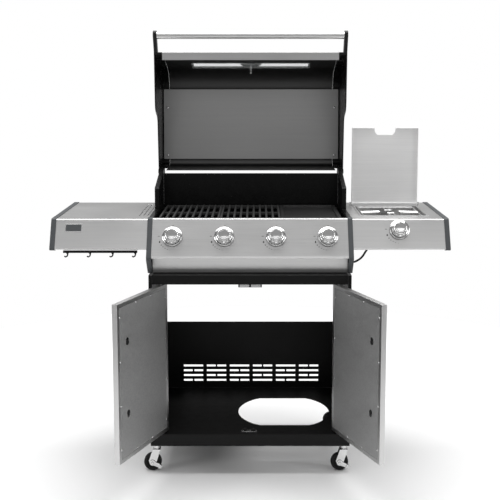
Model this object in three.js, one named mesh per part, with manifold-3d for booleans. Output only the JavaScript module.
// A four-burner gas barbecue grill on a cabinet cart, with a side burner and two side shelves.
// Millimetres, +Z up, +X to the right of someone who stands at the controls, -Y towards that person.
// Heights are measured from the ground, and depths from the front top edge of the side shelves.
// The lid, the doors and the side burner's lid are drawn closed and then swung open about their pivots.
import * as THREE from "three";
import { mergeVertices } from "three/addons/utils/BufferGeometryUtils.js";
import Module from "manifold-3d";

const wasm = await Module();
wasm.setup();

// ---------- driving dimensions ----------

const clearance = 0.3; // between pieces that touch
const running = 0.6; // round a pin or a spindle that turns
const sheet = 1.5; // steel sheet of the cabinet, shelves and panel

const shelfTop = 863;
const shelfDepth = 408;
const shelfReach = 660; // from the middle to a shelf's outer end
const shelfFrontDrop = 95; // height of the sloping front face
const shelfFrontOut = 46; // how far that face leans towards the user
const shelfRearDrop = 60;
const shelfCapWidth = 16;
const shelfCapProud = 2;
const shelfLip = 20; // inward return along the lower edge of a shelf
const shelfSlots = 3;
const shelfSlotPitch = 14;
const shelfSlotLength = 270;
const shelfSlotWidth = 4;

const panelHalf = 340; // half the control panel's width over its end caps
const panelCapWidth = 16;
const panelTop = 865;
const panelTopFlange = 18;
const panelBendOut = 69; // the bend is this far in front of the top edge
const panelBendDrop = 124;
const panelFootIn = 47; // the fascia stands this far behind the bend
const panelReturnDrop = 4; // fall of the return that leads back to the fascia
const fasciaLean = 5;
const panelFootDrop = 54;
const panelSheet = 2;

const knobPitch = 171;
const knobRadius = 28.5;
const knobDepth = 26;
const knobGap = 9; // free travel between a knob and the panel
const knobTravel = 4;
const knobsAlongFace = 0.46; // share of the panel's face from its top edge down to the knobs
const spindleRadius = 4;
const spindleLength = 60;
const spindleHole = 6.5;
const valveHeight = 34;

const cartHalf = 334;
const cartFront = -60;
const cartBack = 420;
const baseBottom = 101;
const baseTop = 142;
const sideFlange = 11.5; // turned-in front and rear edges of the side panels
const backPanelTop = 402;
const railHeight = 36;
const railUpstand = 14; // lip behind the foot of the control panel
const railUpstandIn = 46; // from the front of the rail to that lip
const railDepth = 24;

const gasHoleRadius = 162;
const gasHoleX = 118;
const gasHoleY = 160;
const gasHoleFlat = 136; // the round hole is cut off flat this far from its centre, front and back

const ventGroups = 6;
const ventGroupPitch = 88.5;
const ventSlotLength = 74;
const ventSlotHeight = 7;
const ventRows = 4;
const ventRowPitch = 19;
const ventLowest = 168;

const doorThickness = 18;
const doorSkin = 1.2;
const doorFlange = 12;
const doorPivotIn = 26; // from the door's outer edge to its pin
const doorPivotBack = 10; // from the door's front face to its pin
const doorSideGap = 3.5;
const doorEndGap = 4;
const doorMiddleGap = 4;
const doorOpen = 113;
const doorHandleLength = 240;
const doorHandleRadius = 6;
const doorHandleOut = 27;
const doorHandleIn = 58; // from the door's free edge
const doorPinRadius = 3;
const doorPinReach = 6;

const wheelRadius = 30;
const wheelWidth = 22;
const casterX = 318;
const casterFrontY = -15;
const casterRearY = 372;
const casterTrail = 14;
const casterSocket = 30;
const casterSocketHeight = 10;
const casterStem = 5; // radius
const forkTop = 76;
const brakeSheet = 2.5;
const forkSheet = 2.5;
const axleRadius = 4;
const brakeTilt = 24;

const boxHalf = 324.4; // half the firebox's outer width
const boxFront = 24;
const boxBack = 400;
const boxTop = 860;
const boxBottom = 722;
const boxRearTop = 974; // the rear wall reaches up inside the closed lid
const boxSheet = 2;
const ledgeDepth = 14; // of the shelves inside that carry the grates
const grateTop = 858;
const grateDepth = 346;
const grateWidth = 206;
const grateBar = 7;
const grateBars = 10;
const grateHeight = 12;
const griddleRim = 14;
const drainHalf = 80;

const casingWall = 2;
const casingPostY = 221;
const casingPostTop = 942;
const casingLowTop = 864;
const casingEarRadius = 17;

const lidPivotY = 436;
const lidPivotZ = 977;
const lidOpen = 86;
const lidSkin = 2;
const lidLipY = -15;
const lidLipZ = 871;
const lidCornerY = 79; // where the front sheet would meet the sloping top
const lidCornerZ = 1152;
const lidHem = 29;
const lidRearTopZ = 1102;
const lidRearFoot = 32; // the rear wall ends this far under the pivot
const lidRearIn = 9; // its foot stands this far in front of the pivot
const lidLinerShort = 18; // from the band of the end caps to the liner
const lidCapOut = 345;
const lidCapPlate = 4;
const lidCapRim = 25;
const lidCapBand = 12;
const lidPinRadius = 5;
const windowHalf = 214;
const windowFrom = 152; // along the front sheet, from the lip
const windowTo = 198;
const thermometerRadius = 41;
const handleBarRadius = 12.5;
const handleOut = 58; // from the lip's front corner to the bar's centre
const handleDrop = 8;
const handleArm = 12;

const burnerX = 489;
const burnerHoleWidth = 228;
const burnerHoleFront = 68;
const burnerHoleBack = 312;
const trayDepth = 52;
const sideLidWidth = 240;
const sideLidLength = 276;
const sideLidEdge = 12;
const sideLidSheet = 1.5;
const sideLidLift = 3;
const sideLidPinRadius = 2.5;
const sideEar = 5; // thickness of the ears that hold the pins
const sideBurnerRadius = 44;
const panSupportWire = 3;
const sideKnobX = 494;
const sideKnobAlongFace = 0.36;
const hoseRadius = 3.4;
const hoseY = 2;
const hoseExitZ = 717;
const manifoldRadius = 8;
const manifoldEnd = 300;

const trayWidth = 190;
const trayLength = 300;
const trayHeight = 26;

// ---------- finishes ----------

function finish(color, roughness, metalness) {
  return () => new THREE.MeshStandardMaterial({ color, roughness, metalness });
}
const brushedSteel = finish(0xc4c4c6, 0.36, 1);
const greyLiner = finish(0x97989a, 0.5, 0.6);
const chrome = finish(0xe6e6e8, 0.12, 1);
const blackPaint = finish(0x17171a, 0.5, 0.3);
const enamel = finish(0x101012, 0.35, 0.1);
const capPaint = finish(0x4a4a4d, 0.5, 0.3);
const castIron = finish(0x2a2a2c, 0.65, 0.6);
const rubber = finish(0x161616, 0.8, 0);
const clearGlass = finish(0xdfe8ea, 0.05, 0);

// ---------- solids ----------

// A closed geometry as a solid, with its faces turned outward whichever way they were wound.
function solid(geometry) {
  const bare = geometry.clone();
  bare.deleteAttribute("normal");
  bare.deleteAttribute("uv");
  const merged = mergeVertices(bare, 1e-4);
  const vertProperties = merged.attributes.position.array;
  const triVerts = new Uint32Array(merged.index.array);
  const made = new wasm.Manifold(new wasm.Mesh({ numProp: 3, vertProperties, triVerts }));
  if (made.volume() > 0) return made;
  return new wasm.Manifold(new wasm.Mesh({ numProp: 3, vertProperties, triVerts: triVerts.reverse() }));
}

function join(first, ...others) {
  return others.reduce((whole, piece) => whole.add(piece), first);
}

function cut(body, ...tools) {
  return tools.reduce((left, tool) => left.subtract(tool), body);
}

function geometryOf(body) {
  const mesh = body.getMesh();
  const geometry = new THREE.BufferGeometry();
  const points = new Float32Array(mesh.numVert * 3);
  for (let i = 0; i < mesh.numVert; i++) {
    points.set(mesh.vertProperties.subarray(i * mesh.numProp, i * mesh.numProp + 3), i * 3);
  }
  geometry.setAttribute("position", new THREE.BufferAttribute(points, 3));
  geometry.setIndex(new THREE.BufferAttribute(mesh.triVerts, 1));
  return geometry;
}

function mesh(name, body, material) {
  const made = new THREE.Mesh(geometryOf(body), material());
  made.name = name;
  return made;
}

function block(x0, x1, y0, y1, z0, z1) {
  const box = new THREE.BoxGeometry(Math.abs(x1 - x0), Math.abs(y1 - y0), Math.abs(z1 - z0));
  return solid(box.translate((x0 + x1) / 2, (y0 + y1) / 2, (z0 + z1) / 2));
}

// A round bar from one point to another.
function rod(from, to, radius, sides = 16, endRadius = radius) {
  const a = new THREE.Vector3(...from);
  const b = new THREE.Vector3(...to);
  const way = b.clone().sub(a);
  const bar = new THREE.CylinderGeometry(endRadius, radius, way.length(), sides);
  const lathed = new THREE.Vector3(0, 1, 0);
  const turn = new THREE.Quaternion().setFromUnitVectors(lathed, way.clone().normalize());
  bar.applyQuaternion(turn);
  const middle = a.add(b).multiplyScalar(0.5);
  return solid(bar.translate(middle.x, middle.y, middle.z));
}

// A ring or disc turned from a profile of [radius, height] points, standing along the way given.
function turned(profile, centre, way, sides = 32) {
  const shape = new THREE.LatheGeometry(profile.map(([r, h]) => new THREE.Vector2(r, h)), sides);
  const up = new THREE.Vector3(...way).normalize();
  shape.applyQuaternion(new THREE.Quaternion().setFromUnitVectors(new THREE.Vector3(0, 1, 0), up));
  return solid(shape.translate(...centre));
}

// A wire or hose along a smooth curve through points.
function wire(points, radius, steps, sides = 8, tension = 0.5) {
  const stops = points.map((p) => new THREE.Vector3(...p));
  const path = new THREE.CatmullRomCurve3(stops, false, "catmullrom", tension);
  const section = new THREE.Shape().absarc(0, 0, radius, 0, Math.PI * 2);
  const curveSegments = Math.round(sides / 2) * 2;
  return solid(new THREE.ExtrudeGeometry(section, { extrudePath: path, steps, curveSegments }));
}

function shapeOf(points, holes = []) {
  const shape = new THREE.Shape(points.map(([u, v]) => new THREE.Vector2(u, v)));
  shape.holes = holes.map((hole) => new THREE.Path(hole.map(([u, v]) => new THREE.Vector2(u, v))));
  return shape;
}

// An outline in Y and Z, extruded along X.
function alongX(points, x0, x1, holes = []) {
  const depth = Math.abs(x1 - x0);
  const made = new THREE.ExtrudeGeometry(shapeOf(points, holes), { depth, bevelEnabled: false });
  const turn = new THREE.Matrix4().makeBasis(
    new THREE.Vector3(0, 1, 0),
    new THREE.Vector3(0, 0, 1),
    new THREE.Vector3(1, 0, 0),
  );
  return solid(made.applyMatrix4(turn).translate(Math.min(x0, x1), 0, 0));
}

// An outline in X and Z, extruded along Y.
function alongY(points, y0, y1, holes = []) {
  const made = new THREE.ExtrudeGeometry(shapeOf(points, holes), { depth: y1 - y0, bevelEnabled: false });
  const turn = new THREE.Matrix4().makeBasis(
    new THREE.Vector3(1, 0, 0),
    new THREE.Vector3(0, 0, 1),
    new THREE.Vector3(0, -1, 0),
  );
  return solid(made.applyMatrix4(turn).translate(0, y1, 0));
}

// An outline in X and Y, extruded along Z.
function alongZ(points, z0, z1, holes = []) {
  const made = new THREE.ExtrudeGeometry(shapeOf(points, holes), { depth: z1 - z0, bevelEnabled: false });
  return solid(made.translate(0, 0, z0));
}

// ---------- outlines ----------

// Rounds the corners of a line of [u, v] or [u, v, radius] points. An open line keeps its two ends.
function rounded(points, closed = false, steps = 3) {
  const last = points.length - 1;
  return points.flatMap(([u, v, radius = 0], i) => {
    if (!radius || (!closed && (i === 0 || i === last))) return [[u, v]];
    const corner = new THREE.Vector2(u, v);
    const before = new THREE.Vector2(...points[(i + last) % (last + 1)].slice(0, 2)).sub(corner);
    const after = new THREE.Vector2(...points[(i + 1) % (last + 1)].slice(0, 2)).sub(corner);
    const half = Math.abs(before.clone().normalize().angleTo(after)) / 2;
    const back = Math.min(radius / Math.tan(half), before.length() / 2, after.length() / 2);
    const start = corner.clone().add(before.setLength(back));
    const end = corner.clone().add(after.setLength(back));
    const bend = new THREE.QuadraticBezierCurve(start, corner, end);
    return bend.getPoints(steps).map((p) => [p.x, p.y]);
  });
}

// The line moved sideways, to its left, with mitred corners.
function offset(line, distance) {
  const points = line.map(([u, v]) => new THREE.Vector2(u, v));
  return points.map((point, i) => {
    const inward = point.clone().sub(points[Math.max(i - 1, 0)]);
    const outward = points[Math.min(i + 1, points.length - 1)].clone().sub(point);
    const a = (inward.length() ? inward : outward).clone().normalize();
    const b = (outward.length() ? outward : inward).clone().normalize();
    const normal = new THREE.Vector2(-a.y - b.y, a.x + b.x).normalize();
    const stretch = 1 / Math.max(0.3, normal.dot(new THREE.Vector2(-a.y, a.x)));
    return [point.x + normal.x * distance * stretch, point.y + normal.y * distance * stretch];
  });
}

// Folded sheet: the closed outline of a line given a thickness to its left.
function folded(line, thickness) {
  return [...line, ...offset(line, thickness).reverse()];
}

function swung(pivot, axis, degrees, ...pieces) {
  const hinge = new THREE.Group();
  const inner = new THREE.Group();
  hinge.position.copy(pivot);
  hinge.setRotationFromAxisAngle(axis, THREE.MathUtils.degToRad(degrees));
  inner.position.copy(pivot).negate();
  inner.add(...pieces);
  hinge.add(inner);
  return hinge;
}
const across = new THREE.Vector3(1, 0, 0);
const upright = new THREE.Vector3(0, 0, 1);

const grill = new THREE.Group();
const pivots = {};

// ---------- cart ----------

const faceEndZ = panelTop - panelBendDrop;
const footZ = faceEndZ - panelFootDrop;
const cartTop = footZ - 2.5;
const railBottom = cartTop - railHeight + 6;
const doorBottom = baseTop + doorEndGap;
const doorTop = railBottom - doorEndGap;
const doorOuter = cartHalf - sideFlange - doorSideGap;
const doorPivotX = doorOuter - doorPivotIn;
const doorPivotY = cartFront + doorPivotBack;
const socketBottom = baseBottom - casterSocketHeight;
const casters = [
  { corner: "front_left", x: -casterX, y: casterFrontY },
  { corner: "front_right", x: casterX, y: casterFrontY },
  { corner: "rear_left", x: -casterX, y: casterRearY },
  { corner: "rear_right", x: casterX, y: casterRearY },
];

function gasHoleOutline() {
  const sides = 40;
  return Array.from({ length: sides }, (_, i) => {
    const angle = ((i + 0.5) / sides) * Math.PI * 2;
    const y = THREE.MathUtils.clamp(gasHoleRadius * Math.sin(angle), -gasHoleFlat, gasHoleFlat);
    return [gasHoleX + gasHoleRadius * Math.cos(angle), gasHoleY + y];
  });
}

function baseShelf() {
  let body = cut(
    block(-cartHalf, cartHalf, cartFront, cartBack, baseBottom, baseTop),
    block(-cartHalf + sheet, cartHalf - sheet, cartFront + sheet, cartBack - sheet, 0, baseTop - sheet),
    alongZ(gasHoleOutline(), baseBottom, baseTop + 1),
  );
  for (const { x, y } of casters) {
    const half = casterSocket / 2;
    body = join(body, block(x - half, x + half, y - half, y + half, socketBottom, baseTop - sheet / 2));
    body = cut(body, rod([x, y, socketBottom - 1], [x, y, baseTop - 8], casterStem + running));
  }
  const hole = doorPinRadius + running;
  for (const x of [-doorPivotX, doorPivotX]) {
    body = cut(body, rod([x, doorPivotY, baseTop - 4], [x, doorPivotY, baseTop + 1], hole));
  }
  return body;
}

function sidePanel(side) {
  const line = [
    [cartHalf - sideFlange, cartFront],
    [cartHalf, cartFront],
    [cartHalf, cartBack],
    [cartHalf - sideFlange, cartBack],
  ];
  const outline = folded(line, sheet).map(([x, y]) => [side * x, y]);
  return alongZ(outline, baseTop + clearance, cartTop);
}

// Four rows of slots in each group, one long slot in every other row and two half slots between.
function ventSlots() {
  const slots = [];
  const first = -((ventGroups - 1) / 2) * ventGroupPitch;
  for (let group = 0; group < ventGroups; group++) {
    const middle = first + group * ventGroupPitch;
    for (let row = 0; row < ventRows; row++) {
      const low = ventLowest + row * ventRowPitch;
      const end = ventSlotLength / 2;
      const bridge = ventSlotHeight / 2;
      const spans = (group + row) % 2 ? [[-end, end]] : [[-end, -bridge], [bridge, end]];
      for (const [a, b] of spans) {
        slots.push(block(middle + a, middle + b, cartBack - 10, cartBack, low, low + ventSlotHeight));
      }
    }
  }
  return slots;
}

function backPanel() {
  const half = cartHalf - sheet - clearance;
  const y = cartBack - sheet * 2 - clearance;
  return cut(block(-half, half, y, y + sheet, baseTop + clearance, backPanelTop), ...ventSlots());
}

function frontRail() {
  const half = cartHalf - sideFlange - clearance;
  const back = cartFront + railDepth;
  const line = [
    [cartFront + railUpstandIn, cartTop + railUpstand],
    [cartFront + railUpstandIn, cartTop],
    [cartFront, cartTop],
    [cartFront, railBottom],
    [back, railBottom],
  ];
  const catchHalf = 39;
  const doorBack = cartFront + doorThickness;
  const rail = join(
    alongX(folded(line, sheet), -half, half),
    block(-catchHalf, catchHalf, doorBack + 2, doorBack + 12, railBottom - 14, railBottom + sheet),
  );
  const hole = doorPinRadius + running;
  const holes = [-doorPivotX, doorPivotX].map((x) =>
    rod([x, doorPivotY, railBottom - 1], [x, doorPivotY, railBottom + 4], hole),
  );
  return cut(rail, ...holes);
}

grill.add(
  mesh("base_shelf", baseShelf(), blackPaint),
  mesh("side_panel_left", sidePanel(-1), blackPaint),
  mesh("side_panel_right", sidePanel(1), blackPaint),
  mesh("back_panel", backPanel(), blackPaint),
  mesh("front_rail", frontRail(), blackPaint),
);

// ---------- casters ----------

const forkInner = wheelWidth / 2 + 1.5;
const forkOuter = forkInner + forkSheet;

function casterFork(x, y, braked) {
  const arm = [[13, forkTop], [-13, forkTop], [-27, 36], [-22, 23], [-7, 22], [1, 36]];
  const outline = arm.map(([u, v]) => [x + u, v]);
  const axleX = x - casterTrail;
  const axleEnd = forkOuter + (braked ? brakeSheet + 2 : 1);
  return join(
    alongY(outline, y - forkOuter, y - forkInner),
    alongY(outline, y + forkInner, y + forkOuter),
    block(x - 13, x + 13, y - forkOuter, y + forkOuter, forkTop - forkSheet, forkTop),
    rod([x, y, forkTop - 1], [x, y, socketBottom - 1], 10, 12),
    rod([x, y, forkTop - 1], [x, y, baseTop - 12], casterStem, 10),
    rod([axleX, y - axleEnd, wheelRadius], [axleX, y + forkOuter + 1, wheelRadius], axleRadius, 10),
  );
}

function casterWheel(x, y) {
  const half = wheelWidth / 2;
  const bore = axleRadius + running;
  const profile = [
    [bore, -half], [wheelRadius - 3, -half], [wheelRadius, -half + 4],
    [wheelRadius, half - 4], [wheelRadius - 3, half], [bore, half], [bore, -half],
  ];
  return turned(profile, [x - casterTrail, y, wheelRadius], [0, 1, 0], 24);
}

// A flat lever round the axle's end, with a tread at its tip.
function casterBrake(x, y) {
  const axleX = x - casterTrail;
  const near = y - forkOuter - 0.5;
  const tilt = THREE.MathUtils.degToRad(-brakeTilt);
  const point = (r, a) => [axleX + r * Math.cos(a), wheelRadius + r * Math.sin(a)];
  const outline = [
    ...Array.from({ length: 9 }, (_, i) => point(10, tilt + Math.PI / 4 + (i / 8) * Math.PI * 1.5)),
    point(33, tilt - 0.2),
    point(33, tilt + 0.2),
  ];
  const hole = axleRadius + running;
  return cut(
    join(
      alongY(outline, near - brakeSheet, near),
      alongY([point(25, tilt - 0.24), point(34, tilt - 0.2), point(34, tilt + 0.2), point(25, tilt + 0.24)],
        near - brakeSheet - 5, near - brakeSheet / 2),
    ),
    rod([axleX, near - 10, wheelRadius], [axleX, near + 5, wheelRadius], hole),
  );
}

for (const { corner, x, y } of casters) {
  const braked = corner.startsWith("front");
  grill.add(
    mesh("caster_fork_" + corner, casterFork(x, y, braked), chrome),
    mesh("caster_wheel_" + corner, casterWheel(x, y), rubber),
  );
  if (braked) grill.add(mesh("caster_brake_" + corner, casterBrake(x, y), chrome));
  pivots["caster_swivel_" + corner] = new THREE.Vector3(x, y, forkTop);
  pivots["wheel_spin_" + corner] = new THREE.Vector3(x - casterTrail, y, wheelRadius);
}

// ---------- doors ----------

function doorSpan(side, inset) {
  const free = doorMiddleGap / 2 + inset;
  return [side * free, side * (doorOuter - inset)].sort((a, b) => a - b);
}

function doorSkinPan(side) {
  const [x0, x1] = doorSpan(side, 0);
  const [c0, c1] = doorSpan(side, doorSkin);
  const [w0, w1] = doorSpan(side, doorFlange);
  const back = cartFront + doorThickness;
  const pinX = side * doorPivotX;
  const pan = cut(
    block(x0, x1, cartFront, back, doorBottom, doorTop),
    block(c0, c1, cartFront + doorSkin, back - doorSkin, doorBottom + doorSkin, doorTop - doorSkin),
    block(w0, w1, back - doorSkin - 1, back + 1, doorBottom + doorFlange, doorTop - doorFlange),
  );
  return join(
    pan,
    rod([pinX, doorPivotY, doorBottom - doorPinReach], [pinX, doorPivotY, doorBottom + 1], doorPinRadius),
    rod([pinX, doorPivotY, doorTop - 1], [pinX, doorPivotY, doorTop + doorPinReach], doorPinRadius),
  );
}

const handleX = doorMiddleGap / 2 + doorHandleIn;
const handleMiddle = (doorBottom + doorTop) / 2 + 10;
const handleEnds = [handleMiddle - doorHandleLength / 2, handleMiddle + doorHandleLength / 2];

function doorLinerPanel(side) {
  const back = cartFront + doorThickness;
  const tuck = 3;
  const [x0, x1] = doorSpan(side, doorFlange + clearance);
  const [r0, r1] = doorSpan(side, tuck);
  const step = back - doorSkin - clearance;
  const edge = doorFlange + clearance;
  const holes = handleEnds.map((z) =>
    rod([side * handleX, step - 5, z], [side * handleX, back + 1, z], 8, 16),
  );
  return cut(
    join(
      block(r0, r1, step - doorSkin, step, doorBottom + tuck, doorTop - tuck),
      block(x0, x1, step - 0.5, back, doorBottom + edge, doorTop - edge),
    ),
    ...holes,
  );
}

function doorHandleBar(side) {
  const x = side * handleX;
  const y = cartFront - doorHandleOut;
  const [low, high] = handleEnds;
  return join(
    rod([x, y, low - 10], [x, y, high + 10], doorHandleRadius, 12),
    ...handleEnds.map((z) => rod([x, cartFront - clearance, z], [x, y, z], 7, 12)),
  );
}

for (const [name, side] of [["left", -1], ["right", 1]]) {
  const pivot = new THREE.Vector3(side * doorPivotX, doorPivotY, doorBottom);
  pivots["door_hinge_" + name] = pivot;
  grill.add(
    swung(pivot, upright, side * doorOpen,
      mesh("door_skin_" + name, doorSkinPan(side), brushedSteel),
      mesh("door_liner_" + name, doorLinerPanel(side), greyLiner),
      mesh("door_handle_" + name, doorHandleBar(side), brushedSteel),
    ),
  );
}

// ---------- control panel ----------

const panelInner = panelHalf - panelCapWidth;
const panelLine = [
  [panelTopFlange, panelTop],
  [0, panelTop, 5],
  [-panelBendOut, faceEndZ, 8],
  [-panelBendOut + panelFootIn - fasciaLean, faceEndZ - panelReturnDrop, 2],
  [-panelBendOut + panelFootIn, footZ],
];

// Places a point in front of a sloping face whose top edge is at y = 0: its X, its share of the way
// down the face, and its distance out from the face.
function facePlacer(top, leanOut, drop) {
  const down = new THREE.Vector2(-leanOut, -drop);
  const out = new THREE.Vector2(-drop, leanOut).normalize();
  const place = (x, share, away) => [x, down.x * share + out.x * away, top + down.y * share + out.y * away];
  place.way = [0, out.x, out.y];
  return place;
}
const offFace = facePlacer(panelTop, panelBendOut, panelBendDrop);
const offShelf = facePlacer(shelfTop, shelfFrontOut, shelfFrontDrop);
const knobXs = [-1.5, -0.5, 0.5, 1.5].map((step) => step * knobPitch);

function spindleTool(place, x, share) {
  return rod(place(x, share, -10), place(x, share, 10), spindleHole, 20);
}

function controlPanel() {
  const end = panelInner - clearance;
  const body = alongX(folded(rounded(panelLine), panelSheet), -end, end);
  return cut(body, ...knobXs.map((x) => spindleTool(offFace, x, knobsAlongFace)));
}

// A cast end cap: the panel's outline, a little proud of it, hollow on its inner side.
function endCap(outline, inner, outer, proud, wall) {
  const side = Math.sign(outer);
  const outside = offset(outline, -proud);
  const inside = offset(outline, wall);
  return cut(
    alongX(outside, inner, outer),
    alongX(inside, inner - side, outer - side * wall),
  );
}

function panelCap(side) {
  const outline = rounded([
    [panelTopFlange, panelTop - 40],
    [panelTopFlange, panelTop],
    [0, panelTop, 6],
    [-panelBendOut, faceEndZ, 12],
    [-panelBendOut + panelFootIn, footZ],
    [panelTopFlange - 8, footZ],
  ]);
  const cap = endCap(outline, side * panelInner, side * panelHalf, 2, 4);
  if (side < 0) return cap;
  return cut(cap, rod([panelHalf - 8, hoseY, hoseExitZ], [panelHalf + 2, hoseY, hoseExitZ], hoseRadius + 2));
}

grill.add(
  mesh("control_panel", controlPanel(), brushedSteel),
  mesh("panel_cap_left", panelCap(-1), capPaint),
  mesh("panel_cap_right", panelCap(1), capPaint),
);

// ---------- knobs ----------

// Each spindle is pressed in with its knob, and the knob turns on it.
function knobSet(name, place, x, share) {
  const at = (out) => place(x, share, out);
  const spindle = join(
    rod(at(knobGap + knobDepth - 8), at(knobGap + knobDepth - 8 - spindleLength), spindleRadius, 10),
    rod(at(knobGap - 4), at(knobGap - 1), spindleRadius + 3, 10),
  );
  const bore = spindleRadius + running;
  const profile = [
    [bore, 0], [knobRadius, 0], [knobRadius - 2, knobDepth - 4], [knobRadius - 6, knobDepth],
    [0, knobDepth], [0, knobDepth - 7], [bore, knobDepth - 7], [bore, 0],
  ];
  grill.add(
    mesh("spindle_" + name, spindle, chrome),
    mesh("knob_" + name, turned(profile, at(knobGap), place.way, 22), chrome),
  );
  pivots["knob_turn_" + name] = new THREE.Vector3(...at(knobGap));
  pivots["knob_way_" + name] = new THREE.Vector3(...place.way);
}
knobXs.forEach((x, i) => knobSet(String(i + 1), offFace, x, knobsAlongFace));
knobSet("side_burner", offShelf, sideKnobX, sideKnobAlongFace);

// ---------- firebox ----------

const boxInner = boxHalf - boxSheet;
const casingInner = boxHalf + clearance;
const casingOuter = panelHalf;
const lidPivot = new THREE.Vector3(0, lidPivotY, lidPivotZ);
const grateBottom = grateTop - grateHeight;
const grateFront = boxFront + boxSheet + 3;
const trayTop = boxBottom - 7;
const trayBack = boxBack - 50;

// An open trough with a rear wall that stands higher, ledges for the grates and a drain in its floor.
function firebox() {
  const ledgeTop = grateBottom - clearance;
  const frontInner = boxFront + boxSheet;
  const grateBack = grateFront + grateDepth;
  return join(
    cut(
      block(-boxHalf, boxHalf, boxFront, boxBack, boxBottom, boxTop),
      block(-boxInner, boxInner, frontInner, boxBack - boxSheet, boxBottom + boxSheet, boxTop + 1),
      block(-drainHalf, drainHalf, 90, 310, boxBottom - 1, boxBottom + boxSheet + 1),
    ),
    block(-boxHalf, boxHalf, boxBack - boxSheet, boxBack, boxTop - 1, boxRearTop),
    block(-boxInner - 1, boxInner + 1, frontInner - 1, frontInner + ledgeDepth, ledgeTop - 2, ledgeTop),
    block(-boxInner - 1, boxInner + 1, grateBack - 10, boxBack - boxSheet + 1, ledgeTop - 2, ledgeTop),
    ...trayRunners(),
  );
}

// Two angle strips under the floor, on which the grease tray slides.
function trayRunners() {
  const inner = trayWidth / 2 + running;
  const low = trayTop - trayHeight - clearance;
  return [-1, 1].flatMap((side) => [
    block(side * inner, side * (inner + 2), trayBack - trayLength, trayBack, low - 2, boxBottom + 1),
    block(side * (inner - 8), side * (inner + 2), trayBack - trayLength, trayBack, low - 2, low),
  ]);
}

// A double-walled side: low beside the cooking surface, then a post and an ear that holds the lid's pivot.
function sideCasing(side) {
  const ear = Array.from({ length: 7 }, (_, i) => {
    const angle = THREE.MathUtils.degToRad(115 - i * 20);
    return [lidPivotY + casingEarRadius * Math.cos(angle), lidPivotZ + casingEarRadius * Math.sin(angle)];
  });
  const outline = rounded([
    [boxFront, cartTop + clearance],
    [boxFront, casingLowTop],
    [casingPostY, casingLowTop],
    [casingPostY, casingPostTop, 12],
    [casingPostY + 30, casingPostTop + 4],
    ...ear,
    [lidPivotY + casingEarRadius, boxTop],
    [boxBack + 12, cartTop + clearance],
  ]);
  const inner = casingInner + casingWall;
  const outer = casingOuter - casingWall;
  const hollow = offset(outline, -casingWall).map(([y, z], i, all) => {
    const isFoot = i === 0 || i === all.length - 1;
    return [y, isFoot ? cartTop - 1 : z];
  });
  const x = (value) => side * value;
  const pin = rod([x(inner), lidPivotY, lidPivotZ], [x(lidCapOut + 2), lidPivotY, lidPivotZ], lidPinRadius, 14);
  const shell = cut(
    alongX(outline, x(casingInner), x(casingOuter)),
    alongX(hollow, x(inner), x(outer)),
  );
  return join(shell, pin, rod([x(lidCapOut + clearance), lidPivotY, lidPivotZ],
    [x(lidCapOut + 3), lidPivotY, lidPivotZ], lidPinRadius + 4, 14));
}

// Bars from front to back on three cross-bars, with a rail at each side.
function grate(left) {
  const back = grateFront + grateDepth;
  const pitch = (grateWidth - grateBar) / (grateBars - 1);
  const bars = Array.from({ length: grateBars }, (_, i) => {
    const x = left + i * pitch;
    return block(x, x + grateBar, grateFront, back, grateBottom + 3, grateTop);
  });
  const crossYs = [grateFront, grateFront + grateDepth / 2, back - grateBar];
  const crossBars = crossYs.map((y) =>
    block(left, left + grateWidth, y, y + grateBar, grateBottom, grateTop - 2),
  );
  return join(...bars, ...crossBars);
}

function griddlePlate(left) {
  const right = left + grateWidth;
  const back = grateFront + grateDepth;
  return cut(
    block(left, right, grateFront, back, grateBottom, grateTop),
    block(left + griddleRim, right - griddleRim, grateFront + griddleRim, back - griddleRim,
      grateBottom + 6, grateTop + 1),
  );
}

const burnerXs = knobXs;
const burnerZ = boxBottom + 58;

// Four tube burners joined by the crossover channel that carries the flame from one to the next.
function burnerSet() {
  const tubes = burnerXs.map((x) => rod([x, boxFront + 12, burnerZ], [x, boxBack - 40, burnerZ], 15, 14));
  const crossover = block(burnerXs[0], burnerXs[3], 200, 222, burnerZ - 4, burnerZ + 8);
  return join(crossover, ...tubes);
}

function greaseTray() {
  const half = trayWidth / 2;
  const front = trayBack - trayLength;
  const low = trayTop - trayHeight;
  return cut(
    block(-half, half, front, trayBack, low, trayTop),
    block(-half + sheet, half - sheet, front + sheet, trayBack - sheet, low + sheet, trayTop + 1),
  );
}

grill.add(
  mesh("firebox", firebox(), enamel),
  mesh("side_casing_left", sideCasing(-1), enamel),
  mesh("side_casing_right", sideCasing(1), enamel),
  mesh("burner_set", burnerSet(), brushedSteel),
  mesh("grease_tray", greaseTray(), greyLiner),
);
const grateLefts = [-1.5, -0.5, 0.5].map((step) => step * (grateWidth + 2) + 1);
grill.add(
  mesh("grate_left", grate(grateLefts[0]), castIron),
  mesh("grate_middle", grate(grateLefts[1]), castIron),
  mesh("griddle", griddlePlate(grateLefts[2]), castIron),
);
pivots.lid_hinge = lidPivot;

// ---------- gas ----------

const manifoldZ = hoseExitZ + 4;
const valveFrom = -(spindleLength - knobGap - knobDepth + 8) - knobTravel - 1;

function valveBody(place, x, share) {
  return rod(place(x, share, valveFrom), place(x, share, valveFrom - valveHeight / 2), 11, 12);
}

// The tube under the valves, with a short riser up to each of them.
function gasManifold() {
  const tube = rod([-manifoldEnd, hoseY, manifoldZ], [manifoldEnd, hoseY, manifoldZ], manifoldRadius, 12);
  const risers = knobXs.map((x) => {
    const [, y, z] = offFace(x, knobsAlongFace, valveFrom - valveHeight / 4);
    return rod([x, hoseY, manifoldZ], [x, y, z], 5, 8);
  });
  return join(tube, ...risers, ...knobXs.map((x) => valveBody(offFace, x, knobsAlongFace)));
}

const sideValveAt = offShelf(sideKnobX, sideKnobAlongFace, valveFrom - valveHeight / 4);

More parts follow.
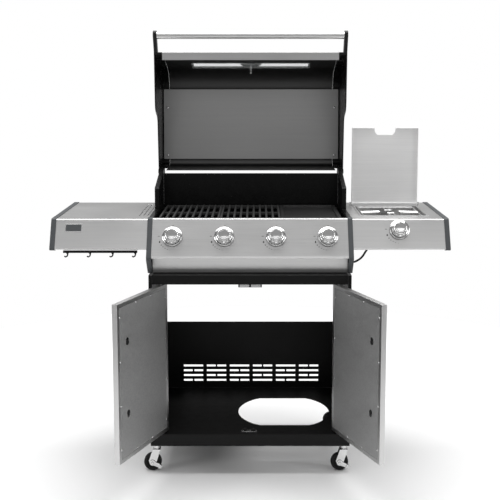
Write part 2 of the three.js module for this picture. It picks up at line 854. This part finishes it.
function sideBurnerHose() {
  const points = [
    [manifoldEnd + clearance * 3, hoseY, manifoldZ],
    [manifoldEnd + 8, hoseY, manifoldZ],
    [panelHalf - 18, hoseY, hoseExitZ + 1],
    [panelHalf - 2, hoseY, hoseExitZ],
    [panelHalf + 14, hoseY + 1, hoseExitZ + 3],
    [panelHalf + 34, hoseY + 3, hoseExitZ + 17],
    [panelHalf + 50, hoseY + 8, hoseExitZ + 40],
    [panelHalf + 72, hoseY + 16, hoseExitZ + 62],
    [panelHalf + 104, sideValveAt[1], sideValveAt[2] - 8],
    [sideKnobX - 30, sideValveAt[1], sideValveAt[2]],
    [sideKnobX - 18, sideValveAt[1], sideValveAt[2]],
  ];
  return wire(points, hoseRadius, 26, 6);
}

grill.add(
  mesh("gas_manifold", gasManifold(), greyLiner),
  mesh("side_burner_hose", sideBurnerHose(), rubber),
);

// ---------- lid, drawn closed ----------

const lidInnerHalf = lidCapOut - lidCapPlate - lidCapRim;
const lidRearY = lidPivotY + 1;
const lidRearSlope = (lidRearY - lidPivotY + lidRearIn) / (lidRearTopZ - lidPivotZ + lidRearFoot);
const lidFrontRun = Math.hypot(lidCornerY - lidLipY, lidCornerZ - lidLipZ);
const lidTopSlope = (lidCornerZ - lidRearTopZ) / (lidRearY - lidCornerY);

// Front sheet, curved crown, sloping top and rear wall, down to the height given.
function lidLine(rearZ) {
  return [
    [lidLipY, lidLipZ, 3],
    [lidCornerY, lidCornerZ, 105],
    [lidRearY, lidRearTopZ, 22],
    [lidRearY - (lidRearTopZ - rearZ) * lidRearSlope, rearZ],
  ];
}

// A point off the front sheet: its run up from the lip, and its distance out.
function offLid(run, out) {
  const up = [(lidCornerY - lidLipY) / lidFrontRun, (lidCornerZ - lidLipZ) / lidFrontRun];
  return [lidLipY + up[0] * run - up[1] * out, lidLipZ + up[1] * run + up[0] * out];
}

function slab(from, to, inner, outer) {
  return [offLid(from, inner), offLid(from, outer), offLid(to, outer), offLid(to, inner)];
}

function lidShell() {
  const line = [[lidLipY + lidHem, lidLipZ], ...lidLine(lidPivotZ - lidRearFoot)];
  const half = lidInnerHalf - clearance;
  return cut(
    alongX(folded(rounded(line, false, 6), -lidSkin), -half, half),
    alongX(slab(windowFrom, windowTo, -lidSkin - 3, 3), -windowHalf, windowHalf),
  );
}

function lidLiner() {
  const half = lidCapOut - lidCapPlate - 4;
  const under = lidCapBand + 3;
  const from = lidCornerY + 62;
  const to = lidRearY - lidCapBand - lidLinerShort;
  const z = (y) => lidCornerZ - (y - lidCornerY) * lidTopSlope - under;
  return alongX(folded([[from, z(from)], [to, z(to)]], -sheet), -half, half);
}

function lidWindow() {
  const lap = 7;
  const inner = -lidSkin - clearance;
  const stem = rod([0, ...offLid((windowFrom + windowTo) / 2, 8)],
    [0, ...offLid((windowFrom + windowTo) / 2, -20)], 4.5, 12);
  const half = windowHalf + lap;
  return cut(alongX(slab(windowFrom - lap, windowTo + lap, inner - 4, inner), -half, half), stem);
}

function thermometer() {
  const middle = (windowFrom + windowTo) / 2;
  const foot = [0, ...offLid(middle, clearance)];
  const face = [0, ...offLid(middle, 18)];
  return join(rod(foot, face, thermometerRadius, 32, thermometerRadius - 3),
    rod([0, ...offLid(middle, -34)], [0, ...offLid(middle, 2)], 3.5, 10));
}

const barY = lidLipY - handleOut;
const barZ = lidLipZ - handleDrop;

// A cast end: plate, rim under the lid's skin, and the arm that carries the handle bar.
function lidCap(side) {
  const x = (value) => side * value;
  const plateIn = lidCapOut - lidCapPlate;
  const proud = 1.5;
  const plate = rounded([
    ...lidLine(lidPivotZ + 50),
    [lidPivotY + 11, lidPivotZ + 20, 10],
    [lidPivotY + 11, lidPivotZ - 14],
    [lidPivotY + 8, lidPivotZ - 20, 6],
    [lidPivotY - 60, lidPivotZ - 22, 60],
    [casingPostY + 10, lidPivotZ - 28, 40],
    [casingPostY - 30, lidLipZ, 40],
  ], true, 5);
  const rim = folded(rounded(lidLine(lidPivotZ + casingEarRadius + 6), false, 6), -lidCapBand);
  const armEnd = Array.from({ length: 9 }, (_, i) => {
    const angle = THREE.MathUtils.degToRad(75 + i * 25);
    return [barY + 17 * Math.cos(angle), barZ + 17 * Math.sin(angle)];
  });
  const arm = [...armEnd, [lidLipY + 2, lidLipZ], [lidLipY + 18, lidLipZ + 40]];
  const pinHole = rod([x(lidInnerHalf), lidPivotY, lidPivotZ], [x(lidCapOut + 1), lidPivotY, lidPivotZ],
    lidPinRadius + running, 14);
  return cut(
    join(
      alongX(offset(plate, proud), x(plateIn), x(lidCapOut)),
      alongX(offset(rim, -proud), x(lidInnerHalf), x(plateIn + 0.5)),
      alongX(arm, x(lidCapOut - handleArm), x(lidCapOut)),
    ),
    pinHole,
  );
}

function lidHandleBar() {
  const half = lidCapOut - handleArm - clearance;
  return rod([-half, barY, barZ], [half, barY, barZ], handleBarRadius, 20);
}

grill.add(
  swung(lidPivot, across, -lidOpen,
    mesh("lid_shell", lidShell(), brushedSteel),
    mesh("lid_liner", lidLiner(), brushedSteel),
    mesh("lid_window", lidWindow(), clearGlass),
    mesh("thermometer", thermometer(), chrome),
    mesh("lid_cap_left", lidCap(-1), enamel),
    mesh("lid_cap_right", lidCap(1), enamel),
    mesh("lid_handle_bar", lidHandleBar(), brushedSteel),
  ),
);

// ---------- side shelves ----------

const shelfInner = panelHalf + clearance;
const shelfOuter = shelfReach - shelfCapWidth;
const shelfLine = [
  [shelfDepth, shelfTop - shelfRearDrop],
  [shelfDepth, shelfTop, 6],
  [0, shelfTop, 6],
  [-shelfFrontOut, shelfTop - shelfFrontDrop, 5],
  [-shelfFrontOut + shelfLip, shelfTop - shelfFrontDrop - 4],
];

// A pressed tray with a wall at its inner end that bolts to the side casing.
function shelfPan(side) {
  const outline = folded(rounded(shelfLine), sheet);
  const x = (value) => side * value;
  return join(
    alongX(outline, x(shelfInner), x(shelfOuter - clearance)),
    block(x(shelfInner), x(shelfInner + sheet), 30, shelfDepth - 12, shelfTop - shelfRearDrop, shelfTop - sheet / 2),
  );
}

function leftShelf() {
  const middle = shelfDepth / 2;
  const slots = Array.from({ length: shelfSlots }, (_, i) => {
    const x = -shelfInner - 6 - i * shelfSlotPitch;
    return block(x - shelfSlotWidth, x, middle - shelfSlotLength / 2, middle + shelfSlotLength / 2,
      shelfTop - 5, shelfTop + 1);
  });
  return cut(shelfPan(-1), ...slots);
}

const sideLidPivotY = burnerHoleBack + 16;
const sideLidPivotZ = shelfTop + 5.5;
const sideLidHalf = sideLidWidth / 2;
const trayHalf = burnerHoleWidth / 2;

function rightShelf() {
  const earHole = sideLidPinRadius + running;
  let body = cut(
    shelfPan(1),
    block(burnerX - trayHalf, burnerX + trayHalf, burnerHoleFront, burnerHoleBack, shelfTop - 5, shelfTop + 1),
    spindleTool(offShelf, sideKnobX, sideKnobAlongFace),
  );
  for (const side of [-1, 1]) {
    const near = burnerX + side * (sideLidHalf + 1.5);
    const far = near + side * sideEar;
    const y = sideLidPivotY;
    body = join(body, block(near, far, y - 6, y + 6, shelfTop - 1, sideLidPivotZ + 6));
    body = cut(body, rod([near - side, y, sideLidPivotZ], [far + side, y, sideLidPivotZ], earHole, 12));
  }
  return body;
}

function shelfCap(side) {
  const outline = rounded(shelfLine);
  return endCap(outline, side * shelfOuter, side * shelfReach, shelfCapProud, 3);
}

// A flat rail with four hooks whose feet turn to the left.
function hookRail() {
  const y = -shelfFrontOut + shelfLip / 2;
  const top = shelfTop - shelfFrontDrop - 4.5;
  const from = -shelfOuter + 28;
  const to = -shelfInner - 32;
  const pitch = (to - from - 20) / 3;
  const hooks = Array.from({ length: 4 }, (_, i) => {
    const x = from + 14 + i * pitch;
    const points = [[x, y, top - 3], [x, y, top - 15], [x - 5, y, top - 21], [x - 11, y, top - 19]];
    return join(wire(points, 2.4, 5, 4), rod([x, y, top - 5], [x, y, top - 11], 7, 6, 3));
  });
  return join(block(from, to, y - 5, y + 5, top - 7, top), ...hooks);
}

// ---------- side burner ----------

const trayFloor = shelfTop - trayDepth;

function sideBurnerTray() {
  const inset = 2;
  const wall = 1.2;
  const flange = 5;
  const [x0, x1] = [burnerX - trayHalf + inset, burnerX + trayHalf - inset];
  const [y0, y1] = [burnerHoleFront + inset, burnerHoleBack - inset];
  const top = shelfTop + clearance;
  return cut(
    join(
      block(x0, x1, y0, y1, trayFloor, top + wall),
      block(x0 - flange, x1 + flange, y0 - flange, y1 + flange, top, top + wall),
    ),
    block(x0 + wall, x1 - wall, y0 + wall, y1 - wall, trayFloor + wall, top + wall + 1),
    rod([burnerX, (y0 + y1) / 2, trayFloor - 1], [burnerX, (y0 + y1) / 2, trayFloor + 2], 22, 20),
  );
}

const burnerY = (burnerHoleFront + burnerHoleBack) / 2;

// Burner head, the mixing tube under the tray and the valve on its front end, as one assembly.
function sideBurner() {
  const floor = trayFloor + 1.2;
  const head = [
    [0, -34], [18, -34], [18, 3], [sideBurnerRadius - 8, 8], [sideBurnerRadius, 14],
    [sideBurnerRadius, 20], [sideBurnerRadius - 4, 23], [0, 26],
  ];
  const [, vy, vz] = offShelf(sideKnobX, sideKnobAlongFace, valveFrom - valveHeight / 4);
  return join(
    turned(head, [burnerX, burnerY, floor], [0, 0, 1], 28),
    rod([burnerX, burnerY, floor - 27], [sideKnobX, vy, vz], 7, 12),
    valveBody(offShelf, sideKnobX, sideKnobAlongFace),
  );
}

// A wire frame on four feet, with four bent fingers that hold a pan over the burner.
function panSupport() {
  const halfX = trayHalf - 14;
  const halfY = (burnerHoleBack - burnerHoleFront) / 2 - 14;
  const z = shelfTop - 6;
  const r = panSupportWire;
  const corner = (sx, sy, at = z) => [burnerX + sx * halfX, burnerY + sy * halfY, at];
  const sides = [[-1, -1, 1, -1], [1, -1, 1, 1], [1, 1, -1, 1], [-1, 1, -1, -1]];
  const frame = sides.map(([a, b, c, d]) => rod(corner(a, b), corner(c, d), r, 6));
  const feet = [[-1, -1], [1, -1], [1, 1], [-1, 1]].map(([a, b]) =>
    rod(corner(a, b, trayFloor + 1.2 + clearance), corner(a, b, z + 1), r, 6),
  );
  const reach = 34;
  const spread = 9;
  const fingers = [[1, 0], [-1, 0], [0, 1], [0, -1]].flatMap(([dx, dy]) => {
    const root = (s) => [burnerX + dx * halfX + dy * s, burnerY + dy * halfY + dx * s, z];
    const tip = (s) => [burnerX + dx * reach + dy * s, burnerY + dy * reach + dx * s, z + 2];
    return [
      rod(root(-spread), tip(-spread), r, 6),
      rod(root(spread), tip(spread), r, 6),
      rod(tip(-spread - r), tip(spread + r), r, 6),
    ];
  });
  return join(...frame, ...feet, ...fingers);
}

// A shallow pressed lid with a finger notch in its front edge, and a pinned lug at each rear corner.
function sideBurnerLid() {
  const [x0, x1] = [burnerX - sideLidHalf, burnerX + sideLidHalf];
  const rear = sideLidPivotY - 2;
  const front = rear - sideLidLength;
  const low = shelfTop + sideLidLift;
  const top = low + sideLidEdge;
  const t = sideLidSheet;
  const notch = [
    [burnerX - 39, front - 1], [burnerX + 39, front - 1], [burnerX + 37, front + 14],
    [burnerX + 28, front + 25], [burnerX - 28, front + 25], [burnerX - 37, front + 14],
  ];
  let body = cut(
    block(x0, x1, front, rear, low, top),
    block(x0 + t, x1 - t, front + t, rear - t, low - 1, top - t),
    alongZ(notch, low - 1, top + 1),
  );
  for (const side of [-1, 1]) {
    const edge = burnerX + side * sideLidHalf;
    const inward = edge - side * t;
    body = join(
      body,
      rod([inward, sideLidPivotY, sideLidPivotZ], [edge, sideLidPivotY, sideLidPivotZ], 5, 14),
      block(inward, edge, rear - 8, sideLidPivotY, sideLidPivotZ - 2, sideLidPivotZ + 4),
      rod([inward, sideLidPivotY, sideLidPivotZ], [edge + side * (sideEar + 3), sideLidPivotY, sideLidPivotZ],
        sideLidPinRadius, 10),
    );
  }
  return body;
}

const sideLidPivot = new THREE.Vector3(burnerX, sideLidPivotY, sideLidPivotZ);
pivots.side_lid_hinge = sideLidPivot;
grill.add(
  mesh("left_shelf", leftShelf(), brushedSteel),
  mesh("left_shelf_cap", shelfCap(-1), capPaint),
  mesh("hook_rail", hookRail(), blackPaint),
  mesh("right_shelf", rightShelf(), brushedSteel),
  mesh("right_shelf_cap", shelfCap(1), capPaint),
  mesh("side_burner_tray", sideBurnerTray(), brushedSteel),
  mesh("side_burner", sideBurner(), castIron),
  mesh("pan_support", panSupport(), chrome),
  swung(sideLidPivot, across, -90, mesh("side_burner_lid", sideBurnerLid(), brushedSteel)),
);

// ---------- origin ----------

// The middle of the outline on the ground.
const extent = new THREE.Box3().setFromObject(grill, true);
const middle = extent.getCenter(new THREE.Vector3());
grill.position.set(-middle.x, -middle.y, -extent.min.z);
const row = new THREE.Group();
row.add(grill);
for (const [name, at] of Object.entries(pivots)) {
  if (!name.startsWith("knob_way_")) at.add(grill.position);
}
row.userData.pivots = pivots;

export default row;
